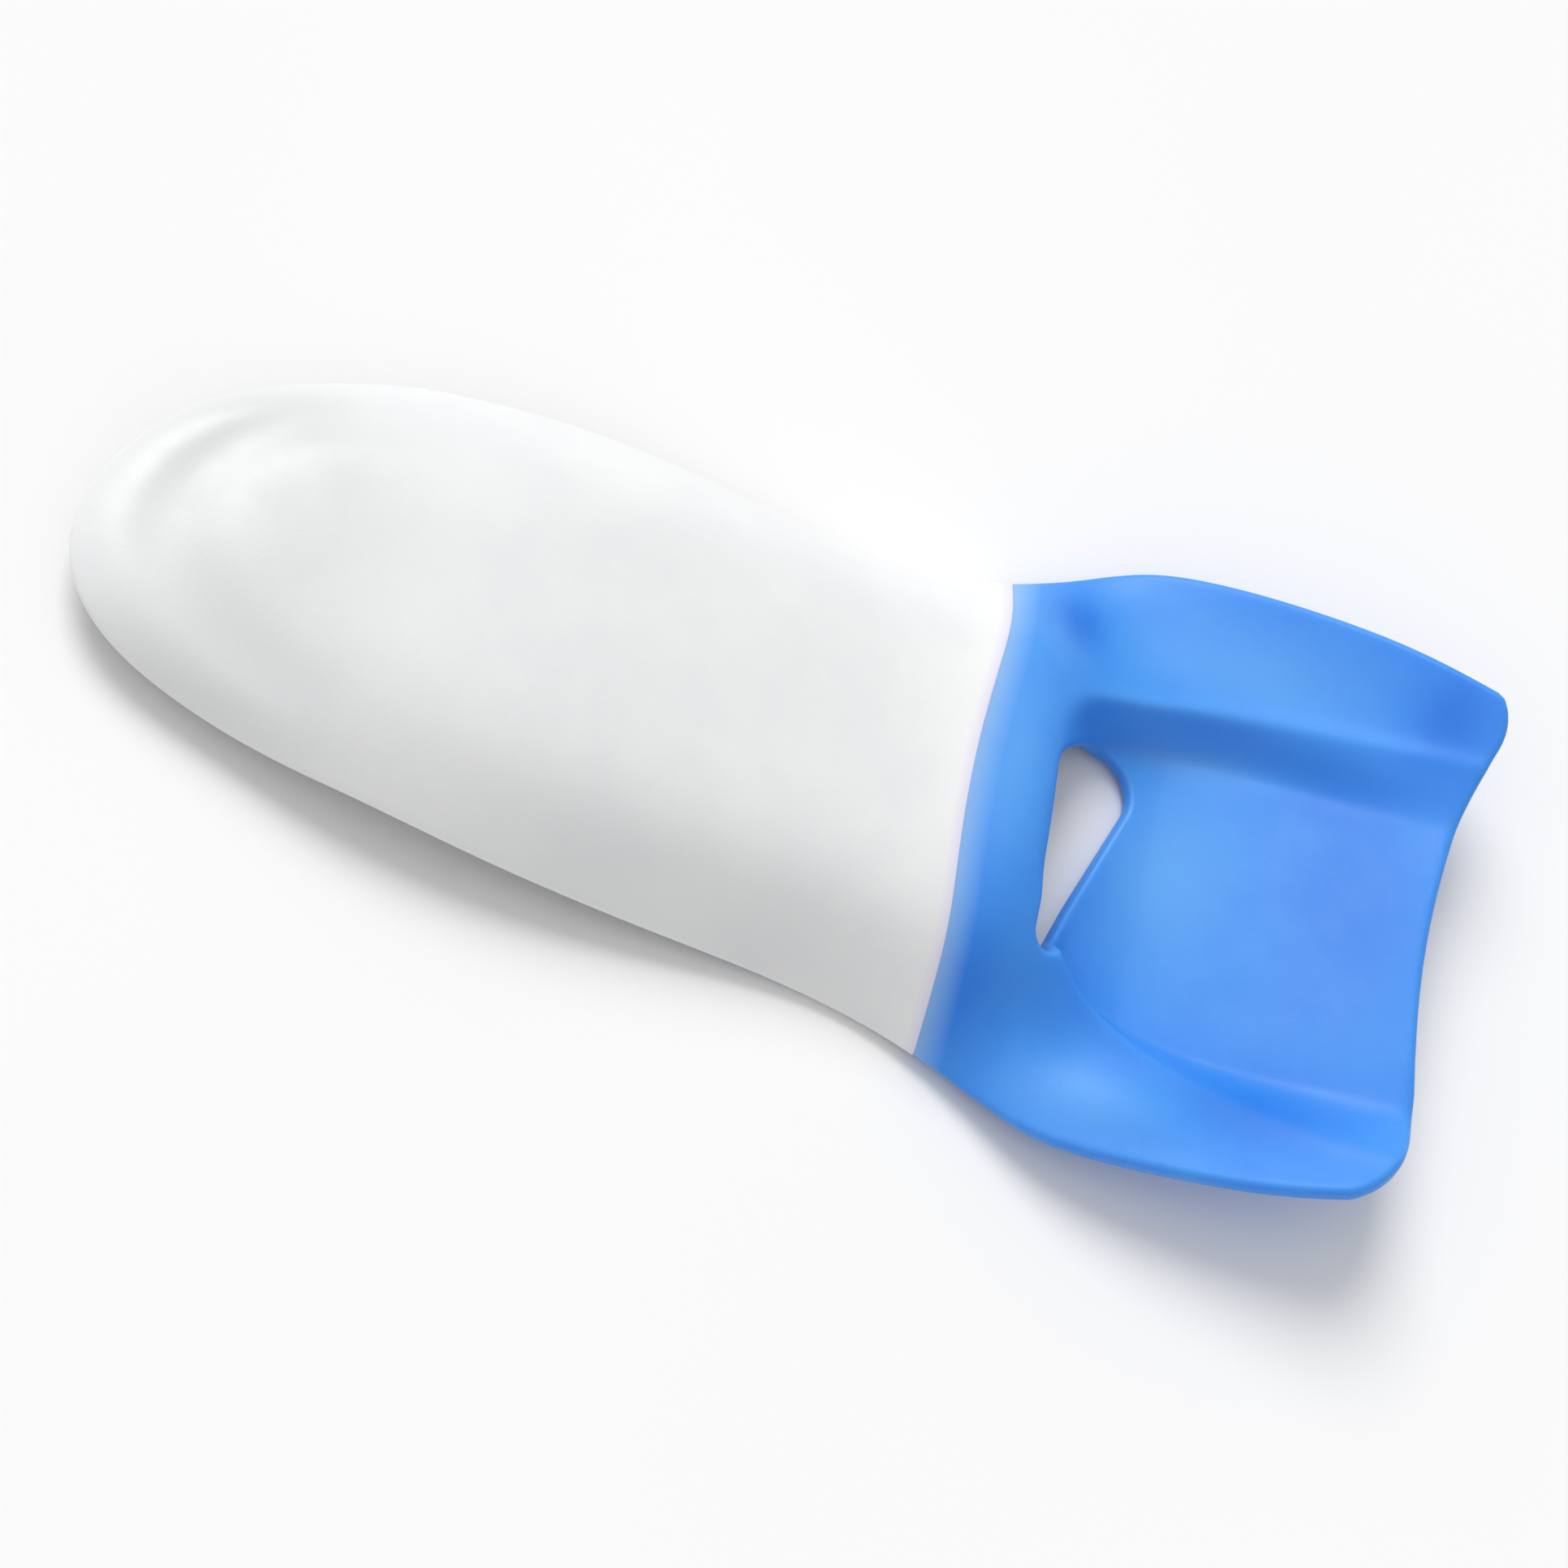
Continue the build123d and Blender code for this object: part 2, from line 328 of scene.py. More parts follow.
    def toe_share(self, along: np.ndarray) -> np.ndarray:
        """How far into the toe a place is: 0 where the toe begins, 1 at its tip."""
        return np.maximum((self.toe_length - self.tongue_length - along) / self.toe_length, 0.0)

    def shell(self, along: np.ndarray, across: np.ndarray) -> np.ndarray:
        """Height of the plain arched shell, before the finger recess is sunk.

        Args:
            along: Places along the aid.
            across: Places across the aid.

        Returns:
            The height of each point.
        """
        half_width, controls = self.sections(along)
        share = np.minimum(np.abs(across) / half_width, 1.0)
        places = np.array(self.line_places)
        mirrored = np.concatenate([-places[:0:-1], places])
        height = spline_across(controls, spline_places(mirrored, share))
        inward = self.toe_share(along)
        outward = np.hypot(inward, (across + self.toe_sweep * inward**2) / half_width)
        outward = np.minimum(outward, self.toe_limit)
        dish = np.exp(-(((outward - self.toe_dish_place) / self.toe_dish_spread) ** 2))
        roll = np.maximum((outward - self.toe_roll_start) / (1 - self.toe_roll_start), 0.0) ** 2
        height = height - self.toe_dish_depth * dish * ease(self.toe_blend_start, self.toe_dish_full, inward)
        return height - self.toe_roll * roll * ease(self.toe_blend_start, self.toe_roll_full, inward)

    def recess(self, along: np.ndarray, across: np.ndarray, spread: float) -> np.ndarray:
        """Depth of the finger recess, which fans out behind the bar.

        Args:
            along: Places along the aid.
            across: Places across the aid.
            spread: How much further out its walls reach.

        Returns:
            The depth at each point.
        """
        sinking = ease(self.recess_start, self.recess_full, along)
        rise = (along - self.recess_floor_end) / (self.handle_length - self.recess_floor_end)
        floor = 1 - (1 - self.recess_end_share) * np.clip(rise, 0.0, 1.0)
        growth = ease(self.recess_growth_start, self.handle_length, along)
        width = self.recess_wall_width + self.recess_wall_growth * growth
        inside = np.abs(across) - self.brow(along, across) + width
        share = np.clip(inside / (width + spread), 0.0, 1.0)
        return self.recess_depth * sinking * floor * (1 - share * share * (3 - 2 * share))

    def brow(self, along: np.ndarray, across: np.ndarray) -> np.ndarray:
        """How far out the brow of the recess runs, on the side where each point lies."""
        fan = np.exp(-np.maximum(along - self.recess_fan_start, 0.0) / self.recess_fan_run)
        wide = np.where(across > 0, self.recess_far_wide, self.recess_near_wide)
        narrow = np.where(across > 0, self.recess_far_narrow, self.recess_near_narrow)
        return wide - (wide - narrow) * fan

    def relief(self, along: np.ndarray, across: np.ndarray) -> np.ndarray:
        """Low relief of the outer face: a bead along the brow and a crest on the near wing."""
        beyond = np.abs(across) - self.brow(along, across) - self.brow_bead_place
        beyond = beyond / self.brow_bead_width
        sinking = ease(self.recess_start, self.recess_full, along)
        bead = self.brow_bead * sinking * np.exp(-(beyond**2))
        bead = bead * np.where(across > 0, 1.0, self.near_bead_share)
        reach = (along - self.near_crest_along) / self.near_crest_reach
        share = (-across / self.wing_half_width - self.near_crest_place) / self.near_crest_spread
        return bead + self.near_crest * np.exp(-(reach**2) - share**2)

    def outer_height(self, along: np.ndarray, across: np.ndarray) -> np.ndarray:
        """Height of the outer face."""
        plain = self.shell(along, across) - self.recess(along, across, 0.0)
        return plain + self.relief(along, across)

    def outer(self, plan: np.ndarray) -> tuple[np.ndarray, np.ndarray]:
        """Points of the outer face and its normals there.

        Args:
            plan: Points in plan, one in each row.

        Returns:
            Points in space, and unit normals.
        """
        reach = 0.2
        along, across = plan[:, 0], plan[:, 1]
        height = self.outer_height(along, across)
        rise_along = self.outer_height(along + reach, across)
        rise_along = rise_along - self.outer_height(along - reach, across)
        side = np.where(across > 0, -reach, reach)
        rise_across = (self.outer_height(along, across + side) - height) / side
        normal = np.stack([-rise_along / (2 * reach), -rise_across, np.ones_like(along)], axis=1)
        normal /= np.linalg.norm(normal, axis=1, keepdims=True)
        return np.column_stack([along, across, height]), normal

    def inner(self, plan: np.ndarray, wall: float) -> np.ndarray:
        """Points of the inner face that lie a wall's thickness under the outer face.

        Args:
            plan: Points of the outer face in plan, one in each row.
            wall: Thickness of the wall.

        Returns:
            Points in space.
        """
        reach = 0.5
        along, across = plan[:, 0], plan[:, 1]
        height = self.shell(along, across)
        rise_along = (self.shell(along + reach, across) - height) / reach
        side = np.where(across > 0, -reach, reach)
        rise_across = (self.shell(along, across + side) - height) / side
        normal = np.stack([-rise_along, -rise_across, np.ones_like(along)], axis=1)
        normal /= np.linalg.norm(normal, axis=1, keepdims=True)
        point = np.column_stack([along, across, height]) - wall * normal
        point[:, 2] -= self.recess(along, across, self.recess_under_spread)
        return point

    def seam(self, across: np.ndarray) -> np.ndarray:
        """Place of the bowed seam along the aid."""
        return self.seam_bow * (across / self.seam_half_width) ** 2


# Cutting a sheet to its outline and giving it thickness
# ------------------------------------------------------


@dataclass
class Sheet:
    """A sheet drawn in plan as a net of small faces, cut cleanly to an outline.

    Attributes:
        plan: Grid of points in plan, rows along and columns across.
        depth: Depth inside the outline at any points, negative outside it.
        points: Points of the cut sheet, filled by cut().
        faces: Faces of the cut sheet, filled by cut().
    """

    plan: np.ndarray
    depth: Callable[[np.ndarray], np.ndarray]
    points: np.ndarray = field(default_factory=lambda: np.zeros((0, 2)))
    faces: list[tuple[int, ...]] = field(default_factory=list)

    def slope(self, point: np.ndarray) -> np.ndarray:
        """Direction in plan in which the depth grows, and how fast, at each point."""
        reach = 0.01
        step_x = np.array([reach, 0.0])
        step_y = np.array([0.0, reach])
        grown_x = self.depth(point + step_x) - self.depth(point - step_x)
        grown_y = self.depth(point + step_y) - self.depth(point - step_y)
        return np.stack([grown_x, grown_y], axis=1) / (2 * reach)

    def cut(self) -> None:
        """Move the points nearest the outline onto it and keep the faces inside it."""
        rows, columns, _ = self.plan.shape
        point = self.plan.reshape(-1, 2).copy()
        depth = self.depth(point)
        index = np.arange(rows * columns).reshape(rows, columns)
        pairs = np.vstack(
            [
                np.column_stack([index[:-1].ravel(), index[1:].ravel()]),
                np.column_stack([index[:, :-1].ravel(), index[:, 1:].ravel()]),
            ]
        )
        depth[np.abs(depth) < ON_OUTLINE] = 0.0
        crossed = pairs[depth[pairs[:, 0]] * depth[pairs[:, 1]] < 0]
        nearer = np.where(np.abs(depth[crossed[:, 0]]) <= np.abs(depth[crossed[:, 1]]), 0, 1)
        moved = np.unique(crossed[np.arange(len(crossed)), nearer])
        for _ in range(CUT_ROUNDS):
            slope = self.slope(point[moved])
            steep = np.maximum((slope**2).sum(1), 1e-6)
            point[moved] -= slope * (self.depth(point[moved]) / steep)[:, None]
        on_outline = np.zeros(len(point), bool)
        on_outline[moved] = True
        on_outline |= depth == 0.0
        inside = on_outline | (depth > -1e-9)
        corners = np.stack(
            [index[:-1, :-1], index[1:, :-1], index[1:, 1:], index[:-1, 1:]], axis=-1
        ).reshape(-1, 4)
        kept = []
        for quad in corners:
            face = [corner for corner in quad if inside[corner]]
            if len(face) < 3:
                continue
            if all(on_outline[corner] for corner in face):
                if self.depth(point[face].mean(0)[None])[0] <= 0:
                    continue
            kept.append(face)
        used = np.unique(np.concatenate(kept))
        renumber = np.full(len(point), -1)
        renumber[used] = np.arange(len(used))
        self.points = point[used]
        self.faces = [tuple(int(renumber[corner]) for corner in face) for face in kept]

    def rims(self) -> list[list[int]]:
        """Closed runs of points round the sheet's outlines, with the sheet on their left."""
        following: dict[int, int] = {}
        edges = {(f[i], f[(i + 1) % len(f)]) for f in self.faces for i in range(len(f))}
        for start, end in edges:
            if (end, start) not in edges:
                following[start] = end
        loops = []
        while following:
            start, point = following.popitem()
            loop = [start, point]
            while point in following:
                point = following.pop(point)
                loop.append(point)
            loops.append(loop[:-1] if loop[0] == loop[-1] else loop)
        return loops


@dataclass(frozen=True)
class Rim:
    """Softened edge of a wall: a flat with a rounded corner at each face.

    Attributes:
        radius: Radius of the rounded corners.
        steps: Faces round each corner.
    """

    radius: float
    steps: int = 4

    def profile(self, wall: float) -> list[tuple[float, float]]:
        """Points round the edge, each as how far out it stands and how far down the wall."""
        angles = [math.pi / 2 * step / self.steps for step in range(1, self.steps + 1)]
        top = [(self.radius * math.sin(a), self.radius * (1 - math.cos(a))) for a in angles]
        bottom = [(out, wall - down) for out, down in reversed(top)]
        return top + bottom


@dataclass(frozen=True)
class PaintedShadingPatch:
    """Soft patch of painted shading: painted shade that darkens the plastic, or painted light that pales it.

    Attributes:
        along: Place of its middle along the aid.
        across: Place of its middle across the aid.
        reach: How far it fades out along the aid.
        width: How far it fades out across the aid.
        depth: Strength of its painted shade at its middle; below 0 it is painted light instead.
    """

    along: float
    across: float
    reach: float
    width: float
    depth: float

    def read(self, places: np.ndarray) -> np.ndarray:
        """Strength of the patch's painted shade at points, one in each row; below 0 it is painted light."""
        along = (places[:, 0] - self.along) / self.reach
        across = (places[:, 1] - self.across) / self.width
        return self.depth * np.exp(-(along**2) - across**2)


@dataclass(frozen=True)
class Wall:
    """Turns a cut sheet into a closed wall of even thickness that follows the form."""

    form: Form
    thickness: float
    rim: Rim
    # Patches of painted shade and painted light laid into the colour
    painted_shading_patches: tuple[PaintedShadingPatch, ...]

    def softness(self, point: np.ndarray) -> np.ndarray:
        """How much of the rim's rounding points of an outline get: none along the seam."""
        aside = np.abs(point[:, 1]) - self.form.half_width(point[:, 0]) + self.rim.radius
        on_seam = np.abs(point[:, 0] - self.form.seam(point[:, 1])) < ON_SEAM
        return np.where(on_seam & (np.abs(aside) >= ON_RIM), 0.0, 1.0)

    def build(self, name: str, sheet: Sheet) -> bpy.types.Object:
        """Build the wall.

        Args:
            name: Name of the piece.
            sheet: The cut sheet.

        Returns:
            The piece, in millimetres about the seam.
        """
        outer, normal = self.form.outer(sheet.points)
        inner = self.form.inner(sheet.points, self.thickness)
        count = len(outer)
        points = [outer, inner]
        faces: list[tuple[int, ...]] = list(sheet.faces)
        faces += [tuple(count + corner for corner in reversed(face)) for face in sheet.faces]
        total = 2 * count
        for loop in sheet.rims():
            ring = np.array(loop)
            top, low, up = outer[ring], inner[ring], normal[ring]
            through = low - top
            depth = np.linalg.norm(through, axis=1, keepdims=True)
            through /= depth
            outward = self.outward(sheet.slope(sheet.points[ring]), up)
            soft = self.softness(sheet.points[ring])[:, None]
            rings = [ring]
            for out, down in self.rim.profile(self.thickness):
                share = down / self.thickness
                points.append(top + outward * out * soft + through * depth * share)
                rings.append(np.arange(total, total + len(ring)))
                total += len(ring)
            rings.append(ring + count)
            for upper, lower in zip(rings[:-1], rings[1:]):
                for i in range(len(ring)):
                    j = (i + 1) % len(ring)
                    faces.append((int(upper[j]), int(upper[i]), int(lower[i]), int(lower[j])))
        piece = mesh_piece(name, np.vstack(points), faces)
        self.mark_seam_and_painted_shading(piece)
        return piece

    def mark_seam_and_painted_shading(self, piece: bpy.types.Object) -> None:
        """Store on each point how far it lies from the seam and the strength of its painted shade or painted
        light.
        """
        places = np.array([point.co for point in piece.data.vertices])
        gap = np.abs(places[:, 0] - self.form.seam(places[:, 1]))
        # Painted shade above 0 and painted light below 0, summed over the patches
        depth = np.sum([shading_patch.read(places) for shading_patch in self.painted_shading_patches], axis=0)
        for name, values in ((SEAM_GAP, gap), (PAINTED_SHADING_STRENGTH, depth)):
            marks = piece.data.attributes.new(name, "FLOAT", "POINT")
            marks.data.foreach_set("value", values.astype(np.float32))

    @staticmethod
    def outward(slope: np.ndarray, up: np.ndarray) -> np.ndarray:
        """Unit directions out of the sheet, lying in its face, at points of an outline.

        Args:
            slope: Directions in plan into the sheet at those points.
            up: Unit normals of the face there.

        Returns:
            One unit direction for each point.
        """
        flat = np.column_stack([-slope, np.zeros(len(slope))])
        out = flat - up * (flat * up).sum(1, keepdims=True)
        return out / np.maximum(np.linalg.norm(out, axis=1, keepdims=True), 1e-9)


def mesh_piece(name: str, points: np.ndarray, faces: list[tuple[int, ...]]) -> bpy.types.Object:
    """Make a smooth-shaded piece from points and faces.

    Args:
        name: Name of the piece.
        points: Points in space, one in each row.
        faces: Faces as runs of point numbers.

    Returns:
        The new piece, linked into the scene.
    """
    mesh = bpy.data.meshes.new(name)
    mesh.from_pydata(points.tolist(), [], faces)
    mesh.validate()
    mesh.polygons.foreach_set("use_smooth", [True] * len(mesh.polygons))
    mesh.set_sharp_from_angle(angle=SHARP_ANGLE)
    mesh.update()
    piece = bpy.data.objects.new(name, mesh)
    bpy.context.scene.collection.objects.link(piece)
    return piece


# Finishes
# --------


@dataclass(frozen=True)
class Pattern:
    """Cloudy pattern in a finish.

    Attributes:
        size: Clouds to a metre.
        detail: How many finer layers it has.
        roughness: How strong the finer layers are.
        low: Value of the pattern that counts as none.
        high: Value of the pattern that counts as full.
    """

    size: float
    detail: float
    roughness: float = 0.5
    low: float = 0.3
    high: float = 0.7


CLOUDS = Pattern(size=38.0, detail=4.0, roughness=0.55, low=0.35, high=0.65)
SPECKLE = Pattern(size=1400.0, detail=2.0, low=0.62, high=0.74)
SHEEN_PATCHES = Pattern(size=90.0, detail=3.0)
FLOOR_CLOUDS = Pattern(size=3.0, detail=2.0)
SPECKLE_SHARE = 0.22
WORN_FROM = 0.52
WORN_TO = 0.60
WORN_SHARE = 0.35
SEAM_SHARE = 0.75
GRAIN_DETAIL = 3.0
GRAIN_ROUGHNESS = 0.6
GRAIN_STRENGTH = 0.5
COARSE_GRAIN = 1 / 7
COARSE_DETAIL = 2.0


class Nodes:
    """Small helper that adds shader nodes to one material and joins them."""

    def __init__(self, name: str) -> None:
        """Start a material with a surface shader."""
        self.material = bpy.data.materials.new(name)
        self.material.use_nodes = True
        self.tree = self.material.node_tree
        self.surface = self.tree.nodes["Principled BSDF"]

    def add(self, kind: str, **values: object) -> bpy.types.Node:
        """Add a node and set its plain properties."""
        node = self.tree.nodes.new(kind)
        for key, value in values.items():
            setattr(node, key, value)
        return node

    def join(self, start: bpy.types.NodeSocket, end: bpy.types.NodeSocket) -> None:
        """Join an output to an input."""
        self.tree.links.new(start, end)

    def place(self) -> bpy.types.NodeSocket:
        """Place on the piece itself, in metres."""
        return self.add("ShaderNodeTexCoord").outputs["Object"]

    def noise(self, scale: float, detail: float, roughness: float = 0.5) -> bpy.types.NodeSocket:
        """Cloudy pattern of a given fineness, from 0 to 1."""
        node = self.add("ShaderNodeTexNoise")
        self.join(self.place(), node.inputs["Vector"])
        node.inputs["Scale"].default_value = scale
        node.inputs["Detail"].default_value = detail
        node.inputs["Roughness"].default_value = roughness
        return node.outputs["Fac"]

    def spread(
        self, value: bpy.types.NodeSocket, low: float, high: float, to_low: float, to_high: float
    ) -> bpy.types.NodeSocket:
        """Stretch a value from one range to another, held at its ends."""
        node = self.add("ShaderNodeMapRange")
        self.join(value, node.inputs["Value"])
        for key, number in (
            ("From Min", low),
            ("From Max", high),
            ("To Min", to_low),
            ("To Max", to_high),
        ):
            node.inputs[key].default_value = number
        return node.outputs["Result"]

    def pattern(self, pattern: Pattern, to_low: float, to_high: float) -> bpy.types.NodeSocket:
        """Cloudy pattern, stretched between two values."""
        value = self.noise(pattern.size, pattern.detail, pattern.roughness)
        return self.spread(value, pattern.low, pattern.high, to_low, to_high)

    def blend(
        self,
        share: bpy.types.NodeSocket,
        first: tuple[float, float, float] | bpy.types.NodeSocket,
        second: tuple[float, float, float] | bpy.types.NodeSocket,
    ) -> bpy.types.NodeSocket:
        """Mix two colours by a share."""
        node = self.add("ShaderNodeMix", data_type="RGBA")
        self.join(share, node.inputs[0])
        for socket, colour in ((node.inputs[6], first), (node.inputs[7], second)):
            if isinstance(colour, tuple):
                socket.default_value = (*colour, 1.0)
            else:
                self.join(colour, socket)
        return node.outputs[2]

    def total(self, first: bpy.types.NodeSocket, second: bpy.types.NodeSocket) -> bpy.types.NodeSocket:
        """Add two values."""
        node = self.add("ShaderNodeMath", operation="ADD")
        self.join(first, node.inputs[0])
        self.join(second, node.inputs[1])
        return node.outputs[0]

    def bump(self, height: bpy.types.NodeSocket, distance: float, strength: float) -> None:
        """Raise the surface by a height pattern."""
        node = self.add("ShaderNodeBump")
        node.inputs["Distance"].default_value = distance
        node.inputs["Strength"].default_value = strength
        self.join(height, node.inputs["Height"])
        self.join(node.outputs["Normal"], self.surface.inputs["Normal"])


@dataclass(frozen=True)
class MouldedPlastic:
    """Moulded plastic: cloudy colour, painted shade and painted light, worn edges, fine grain and a soft
    sheen.

    Attributes:
        name: Name of the finish.
        colour: Main colour.
        painted_shade: Colour of the painted shade, laid where the form is shaded.
        painted_light: Colour of the painted light, laid where the form is lit.
        clouded: Colour of the fainter clouds in it.
        worn: Colour along worn edges.
        roughness: Least and most roughness.
        coat: Weight of the thin glossy skin.
        coat_roughness: Roughness of that skin.
        grain_size: Grains to a metre.
        grain_depth: Height of the grain in metres.
        glow: How much light travels under the surface.
        glow_reach: How far it travels in metres.
        glow_spread: How far red, green and blue light travel, as shares of that.
        seam_colour: Colour along the seam, where the other plastic shows through.
        seam_reach: How far from the seam that colour fades out, in millimetres.
    """

    name: str
    colour: tuple[float, float, float]
    painted_shade: tuple[float, float, float]
    painted_light: tuple[float, float, float]
    clouded: tuple[float, float, float]
    worn: tuple[float, float, float]
    roughness: tuple[float, float]
    coat: float
    coat_roughness: float
    grain_size: float
    grain_depth: float
    glow: float
    glow_reach: float
    glow_spread: tuple[float, float, float]
    seam_colour: tuple[float, float, float]
    seam_reach: float

    def make(self) -> bpy.types.Material:
        """Build the finish as a material."""
        nodes = Nodes(self.name)
        surface = nodes.surface
        clouds = nodes.pattern(CLOUDS, 0.0, 1.0)
        speckle = nodes.pattern(SPECKLE, 0.0, SPECKLE_SHARE)
        # Painted shade and painted light: where the stored strength is above 0 the colour is darkened as
        # shade, below 0 it is lightened as light
        depth = nodes.add("ShaderNodeAttribute", attribute_name=PAINTED_SHADING_STRENGTH).outputs["Fac"]
        base = nodes.blend(clouds, self.colour, self.clouded)
        base = nodes.blend(nodes.spread(depth, 0.0, 1.0, 0.0, 1.0), base, self.painted_shade)
        base = nodes.blend(nodes.spread(depth, -1.0, 0.0, 1.0, 0.0), base, self.painted_light)
        base = nodes.blend(speckle, base, self.clouded)
        edges = nodes.add("ShaderNodeNewGeometry").outputs["Pointiness"]
        edge_wear = nodes.spread(edges, WORN_FROM, WORN_TO, 0.0, WORN_SHARE)
        base = nodes.blend(edge_wear, base, self.worn)
        gap = nodes.add("ShaderNodeAttribute", attribute_name=SEAM_GAP).outputs["Fac"]
        beside = nodes.spread(gap, 0.0, self.seam_reach, SEAM_SHARE, 0.0)
        base = nodes.blend(beside, base, self.seam_colour)
        nodes.join(base, surface.inputs["Base Color"])
        nodes.join(nodes.pattern(SHEEN_PATCHES, *self.roughness), surface.inputs["Roughness"])
        fine = nodes.noise(self.grain_size, GRAIN_DETAIL, GRAIN_ROUGHNESS)
        coarse = nodes.noise(self.grain_size * COARSE_GRAIN, COARSE_DETAIL)
        nodes.bump(nodes.total(fine, coarse), self.grain_depth, GRAIN_STRENGTH)
        surface.inputs["Coat Weight"].default_value = self.coat
        surface.inputs["Coat Roughness"].default_value = self.coat_roughness
        surface.inputs["Subsurface Weight"].default_value = self.glow
        surface.inputs["Subsurface Scale"].default_value = self.glow_reach
        surface.inputs["Subsurface Radius"].default_value = self.glow_spread
        return nodes.material


WHITE = MouldedPlastic(
    name="white_satin_plastic",
    colour=(0.84, 0.845, 0.85),
    # Painted shade and painted light colours of the white plastic
    painted_shade=(0.69, 0.695, 0.70),
    painted_light=(0.88, 0.88, 0.88),
    clouded=(0.80, 0.805, 0.815),
    worn=(0.90, 0.90, 0.90),
    roughness=(0.36, 0.48),
    coat=0.10,
    coat_roughness=0.30,
    grain_size=1500.0,
    grain_depth=0.00006,
    glow=0.12,
    glow_reach=0.004,
    glow_spread=(1.0, 1.0, 1.0),
    seam_colour=(0.70, 0.66, 0.90),
    seam_reach=2.6,
)

BLUE = MouldedPlastic(
    name="blue_soft_gloss_plastic",
    colour=(0.048, 0.300, 0.86),
    # Painted shade and painted light colours of the blue plastic
    painted_shade=(0.010, 0.190, 0.74),
    painted_light=(0.115, 0.400, 0.92),
    clouded=(0.038, 0.265, 0.83),
    worn=(0.09, 0.38, 0.93),
    roughness=(0.44, 0.54),
    coat=0.05,
    coat_roughness=0.30,
    grain_size=1900.0,
    grain_depth=0.00004,
    glow=0.35,
    glow_reach=0.010,
    glow_spread=(0.15, 0.4, 1.0),
    seam_colour=(0.30, 0.52, 0.93),
    seam_reach=6.0,
)


# The two pieces
# --------------


# Painted shade on the tongue: darker colour in the toe's dished middle and along the near side, where shade
# falls
TONGUE_PAINTED_SHADE = (
    PaintedShadingPatch(along=-160.0, across=4.0, reach=28.0, width=32.0, depth=1.4),
    PaintedShadingPatch(along=-60.0, across=-34.0, reach=70.0, width=16.0, depth=0.15),
)

# Painted shading on the handle: a depth above 0 is painted shade in its valleys and shaded slopes, below 0
# painted light on its lit wings, floor and bar
HANDLE_PAINTED_SHADING = (
    PaintedShadingPatch(along=66.0, across=52.0, reach=26.0, width=12.0, depth=-0.75),
    PaintedShadingPatch(along=56.0, across=2.0, reach=14.0, width=22.0, depth=-0.80),
    PaintedShadingPatch(along=44.0, across=-58.0, reach=18.0, width=7.0, depth=-0.65),
    PaintedShadingPatch(along=10.0, across=6.0, reach=7.0, width=26.0, depth=-0.55),
    PaintedShadingPatch(along=10.0, across=-46.0, reach=9.0, width=16.0, depth=0.90),
    PaintedShadingPatch(along=23.0, across=50.0, reach=7.0, width=9.0, depth=1.10),
    PaintedShadingPatch(along=90.0, across=30.0, reach=15.0, width=9.0, depth=0.55),
    PaintedShadingPatch(along=54.0, across=31.0, reach=18.0, width=5.0, depth=-0.60),
    PaintedShadingPatch(along=98.0, across=2.0, reach=17.0, width=26.0, depth=0.60),
    PaintedShadingPatch(along=108.0, across=52.0, reach=8.0, width=12.0, depth=0.85),
    PaintedShadingPatch(along=82.0, across=-49.0, reach=16.0, width=9.0, depth=0.85),
    PaintedShadingPatch(along=42.0, across=-33.0, reach=10.0, width=8.0, depth=0.35),
)


@dataclass
class Tongue:
    """White arched tongue with a rounded toe.

    Attributes:
        form: The form of the aid.
        wall: Thickness of the sheet.
        rim: Softened edge.
        cell: Size of the small faces.
    """

    form: Form
    wall: float = 2.8
    rim: Rim = Rim(radius=1.25)
    cell: float = 1.25

    def net(self) -> np.ndarray:
        """Grid of plan points from the seam to past the toe, with rows that follow the seam."""
        form = self.form
        rows = int((form.tongue_length + 2 * self.cell) / self.cell)
        columns = int(2 * form.tongue_half_width / self.cell)
        back = np.linspace(0.0, -form.tongue_length - 2 * self.cell, rows)
        out = np.linspace(-1.0, 1.0, columns)
        grid_back, grid_out = np.meshgrid(back, out, indexing="ij")
        fade = np.clip(1 + grid_back / form.toe_length, 0.0, 1.0)
        along = grid_back.copy()
        for _ in range(NET_ROUNDS):
            inset = self.rim.radius
            across = grid_out * (form.half_width(along.ravel()).reshape(along.shape) - inset)
            along = grid_back + form.seam(across) * fade
        return np.stack([along, across], axis=-1)[::-1]

    def toe_depth(self, point: np.ndarray) -> np.ndarray:
        """Depth inside the sides and the rounded toe, less the rim's rounding."""
        form = self.form
        inward = form.toe_share(point[:, 0])
        half_width = form.half_width(np.maximum(point[:, 0], -form.tongue_length))
        aside = (point[:, 1] + form.toe_sweep * inward**2) / half_width
        radius = np.hypot(inward, aside)
        reach = np.hypot(inward * form.toe_length, aside * half_width) / np.maximum(radius, 1e-6)
        toe = (1 - radius) * reach - self.rim.radius
        side = form.half_width(point[:, 0]) - np.abs(point[:, 1]) - self.rim.radius
        return np.where(inward > 0, toe, side)

    def build(self) -> bpy.types.Object:
        """Build the tongue and dress it."""
        sheet = Sheet(self.net(), self.toe_depth)
        sheet.cut()
        wall = Wall(self.form, self.wall, self.rim, TONGUE_PAINTED_SHADE)
        piece = wall.build("tongue_shell", sheet)
        piece.data.materials.append(WHITE.make())
        return piece


